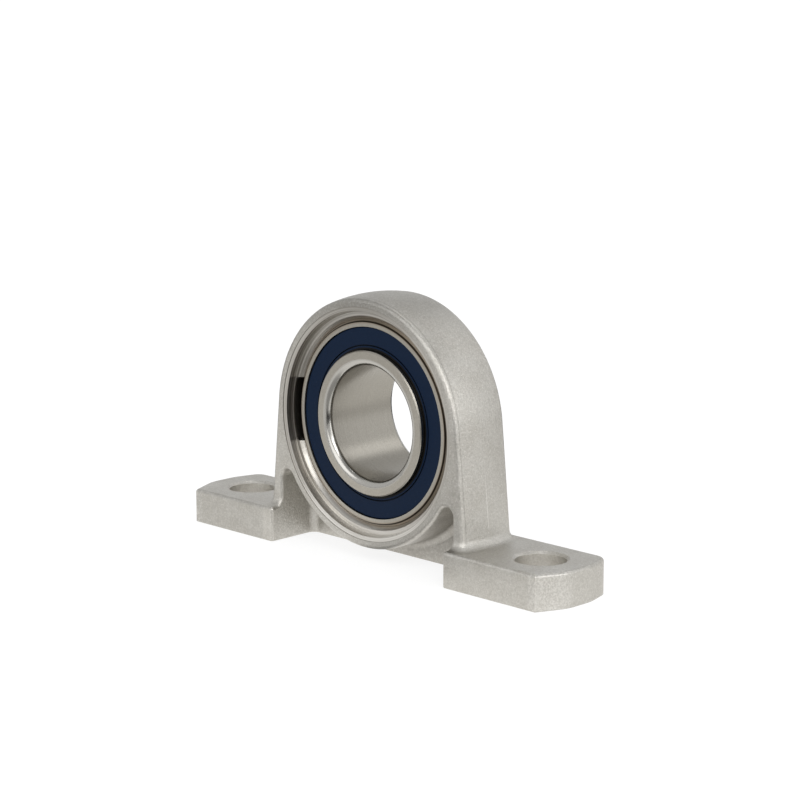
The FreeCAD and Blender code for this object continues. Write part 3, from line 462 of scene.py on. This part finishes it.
# Each softbox's name, direction from the bearing, side in metres, and level
SOFTBOX_DISTANCE = 1.0
SOFTBOXES = (
    ("back_softbox", (0.28, 0.69, 0.67), 0.35, 1.1),
    ("right_softbox", (1.0, 0.0, 0.25), 0.7, 1.5),
    ("right_back_softbox", (0.7, 0.7, 0.25), 0.7, 0.38),
    ("front_softbox", (-0.1, -0.9, 0.4), 0.8, 1.2),
    ("near_softbox", (0.7, -0.5, 0.65), 0.5, 3.6),
    ("top_softbox", (-0.1, 0.1, 1.0), 0.35, 3.5),
)

CAMERA_PLACE = (0.42907, -0.42466, 0.16492)
CAMERA_AZIMUTH = 45.0
CAMERA_ELEVATION = 11.58
CAMERA_ROLL = -0.11
FOCAL_PIXELS = 2394.44
PHOTO_PIXELS = 800
SENSOR_MM = 36.0


def make_floor():
    """Pale floor that keeps the object's shadow and runs out into white.
    In the metal it shows bright near the object and dim further off, as under a light tent."""
    bpy.ops.mesh.primitive_circle_add(vertices=96, radius=FLOOR_RADIUS, fill_type="NGON")
    floor = bpy.context.object
    floor.name = "floor"
    f = Finish(bpy.data.materials.new("pale_floor"))
    spot = f.node("ShaderNodeTexCoord", out="Object")
    distance = f.length_of(spot)
    east, north = f.parts_of(spot, "XY")

    def towards(degrees, start, end):
        """1 where the floor lies in a direction from the bearing, 0 away from it."""
        turn = math.radians(degrees)
        return f.step((east * math.cos(turn) + north * math.sin(turn)) / distance, start, end)

    away = f.step(distance, WHITE_FROM, WHITE_AT)
    far = f.step(distance, NEAR_END, FAR_START)
    near_level = NEAR_LEVEL * (1 - FRONT_LOSS * towards(-82, 0.72, 0.93))
    left_front = LEFT_FRONT_LEVEL * towards(-130, 0.45, 0.80)
    left_front = left_front * (1 - OUTER_LOSS * f.step(distance, OUTER_START, OUTER_END))
    far_level = left_front + RIGHT_BACK_LEVEL * towards(45, 0.70, 0.92)
    level = near_level * (1 - far) + far_level * far
    camera_ray = f.node("ShaderNodeLightPath", out="Is Camera Ray")
    glossy_ray = f.node("ShaderNodeLightPath", out="Is Glossy Ray")
    matt = f.node("ShaderNodeBsdfDiffuse", {"Color": FLOOR_GREY})
    white = f.node("ShaderNodeEmission", {"Color": WHITE, "Strength": FLOOR_WHITE})
    mirrored = f.node("ShaderNodeEmission", {"Color": WARM_WHITE, "Strength": level})
    white_share = camera_ray * (NEAR_WHITE + away * (1 - NEAR_WHITE))
    seen = f.node("ShaderNodeMixShader", {0: white_share, 1: matt, 2: white})
    lit = f.node("ShaderNodeMixShader", {0: glossy_ray, 1: seen, 2: mirrored})
    f.node("ShaderNodeOutputMaterial", {"Surface": lit})
    floor.data.materials.append(f.block)


def make_world():
    """Light tent: even soft light, dimmer overhead, white to the camera."""
    f = Finish(bpy.data.worlds.new("light_tent"))
    upwards = f.parts_of(f.node("ShaderNodeTexCoord", out="Generated"), "Z")[0]
    level = ROOM_LEVEL * (1 - OVERHEAD_LOSS * f.step(upwards, 0.74, 0.88))
    soft = f.node("ShaderNodeBackground", {"Color": WHITE, "Strength": level})
    white = f.node("ShaderNodeBackground", {"Color": WHITE, "Strength": 1.0})
    camera_ray = f.node("ShaderNodeLightPath", out="Is Camera Ray")
    mixed = f.node("ShaderNodeMixShader", {0: camera_ray, 1: soft, 2: white})
    f.node("ShaderNodeOutputWorld", {"Surface": mixed})
    bpy.context.scene.world = f.block


def add_softbox(name, direction, side, level):
    """Square soft lamp in the given direction, facing the bearing. Level 1 looks as bright as white."""
    aim = Vector((0.0, 0.0, AXIS_HEIGHT))
    lamp = bpy.data.lights.new(name, "AREA")
    lamp.shape = "SQUARE"
    lamp.size = side
    lamp.energy = level * math.pi * side ** 2
    box = bpy.data.objects.new(name, lamp)
    bpy.context.scene.collection.objects.link(box)
    box.location = aim + Vector(direction).normalized() * SOFTBOX_DISTANCE
    box.rotation_euler = (aim - box.location).to_track_quat("-Z", "Y").to_euler()


def make_camera():
    """Long lens at the photograph's viewing angle."""
    camera = bpy.data.cameras.new("camera")
    camera.sensor_width = SENSOR_MM
    camera.lens = FOCAL_PIXELS / PHOTO_PIXELS * SENSOR_MM
    camera.clip_start, camera.clip_end = 0.01, 50.0
    stand = bpy.data.objects.new("camera", camera)
    bpy.context.scene.collection.objects.link(stand)
    tilt = Matrix.Rotation(math.radians(90 - CAMERA_ELEVATION), 4, "X")
    swing = Matrix.Rotation(math.radians(CAMERA_AZIMUTH), 4, "Z")
    roll = Matrix.Rotation(math.radians(CAMERA_ROLL), 4, "Z")
    stand.matrix_world = Matrix.Translation(CAMERA_PLACE) @ swing @ tilt @ roll
    bpy.context.scene.camera = stand


make_floor()
make_world()
for softbox in SOFTBOXES:
    add_softbox(*softbox)
make_camera()
bpy.context.scene.view_settings.view_transform = "Standard"
